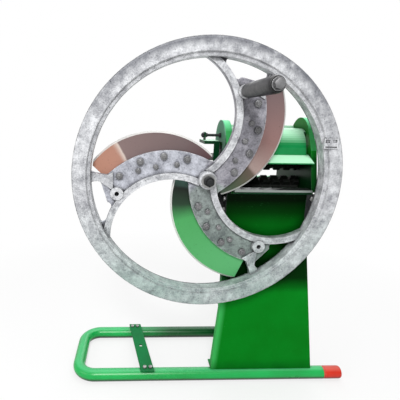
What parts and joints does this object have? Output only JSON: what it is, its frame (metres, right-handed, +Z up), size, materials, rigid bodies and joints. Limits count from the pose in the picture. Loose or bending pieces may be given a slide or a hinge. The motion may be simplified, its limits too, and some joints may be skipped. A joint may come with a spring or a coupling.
{
  "type": "chaff cutter",
  "caption": "Hand-cranked straw cutter: cast flywheel with curved knives and a turning grip, toothed feed rollers driven by a worm, sheet steel throat and stand on a bent tube base.",
  "frame": {"origin": "on the floor, under the middle of the whole object's extent left to right and front to back", "axes": "+Z up, +Y away from the crank along the main shaft towards the feed end, +X to the right seen from the crank"},
  "size_m": [0.85, 0.549, 0.9935],
  "materials": {
    "green_paint": "glossy enamel with a few worn edges",
    "red_cap": "gloss",
    "zinc_steel": "dull zinc plate",
    "edge_steel": "ground bright",
    "knife_steel": "hardened and stained, bright at the ground bevel",
    "dark_iron": "oiled black casting",
    "cast_wheel": "rough casting under silver paint",
    "bronze": "machined",
    "grip_black": "satin"
  },
  "bodies": {
    "stand": {"base_tube": "green_paint", "tube_caps": "red_cap", "cross_bar": "green_paint", "cross_bar_bolts": "zinc_steel", "stand_front": "green_paint", "stand_rear": "green_paint", "stand_shelf": "green_paint", "left_cheek": "green_paint", "left_ear_cover": "green_paint", "right_cheek": "green_paint", "right_bracket": "dark_iron", "cheek_bolts": "zinc_steel", "front_bed": "green_paint", "feed_floor": "green_paint", "shear_plate": "edge_steel", "shear_plate_screws": "dark_iron", "hood": "green_paint", "hood_bolts": "zinc_steel", "front_bearing": "dark_iron", "rear_bearing": "dark_iron", "shaft_bushes": "bronze", "bearing_bolts": "zinc_steel", "roller_bushes": "bronze", "gear_guard": "green_paint", "guard_rod": "dark_iron", "spring_lugs": "green_paint", "left_spring": "zinc_steel", "right_spring": "zinc_steel"},
    "wheel": {"flywheel": "cast_wheel", "main_shaft": "dark_iron", "hub_key": "zinc_steel", "hub_washer": "zinc_steel", "hub_nut": "dark_iron", "worm": "dark_iron", "shaft_collar": "dark_iron", "knife_left": "knife_steel", "knife_lower": "knife_steel", "knife_upper": "knife_steel", "knife_bolts": "zinc_steel", "knife_nuts": "zinc_steel", "set_screws": "zinc_steel", "set_screw_nuts": "zinc_steel", "handle_spindle": "zinc_steel", "handle_locknut": "zinc_steel"},
    "grip": {"handle_grip": "grip_black"},
    "low_roller": {"lower_roller": "dark_iron", "lower_roller_shaft": "zinc_steel", "lower_worm_wheel": "dark_iron"},
    "carriage": {"left_bearing_block": "dark_iron", "right_bearing_block": "dark_iron", "draw_rods": "zinc_steel", "draw_rod_nuts": "zinc_steel"},
    "top_roller": {"upper_roller": "dark_iron", "upper_roller_shaft": "zinc_steel", "upper_worm_wheel": "dark_iron"}
  },
  "joints": [
    {"name": "wheel_turn", "type": "hinge", "parent": "stand", "child": "wheel", "pos_m": [-0.041, -0.0755, 0.6435], "axis": [0, 1, 0], "continuous": true},
    {"name": "grip_turn", "type": "hinge", "parent": "wheel", "child": "grip", "pos_m": [0.0433, -0.1655, 0.86778], "axis": [0, 1, 0], "continuous": true},
    {"name": "lower_roller_turn", "type": "hinge", "parent": "stand", "child": "low_roller", "pos_m": [0.1505, 0.0845, 0.5975], "axis": [1, 0, 0], "continuous": true},
    {"name": "upper_lift", "type": "slide", "parent": "stand", "child": "carriage", "axis": [0, 0, 1], "range_m": [0, 0.006], "stiffness_N_per_m": 6000, "springref_m": -0.01, "deforming": ["left_spring", "right_spring"]},
    {"name": "upper_roller_turn", "type": "hinge", "parent": "carriage", "child": "top_roller", "pos_m": [0.1505, 0.0845, 0.6895], "axis": [1, 0, 0], "continuous": true}
  ],
  "couplings": [
    {"joint": "lower_roller_turn", "follows": "wheel_turn", "ratio": 0.16667},
    {"joint": "upper_roller_turn", "follows": "wheel_turn", "ratio": -0.16667}
  ]
}
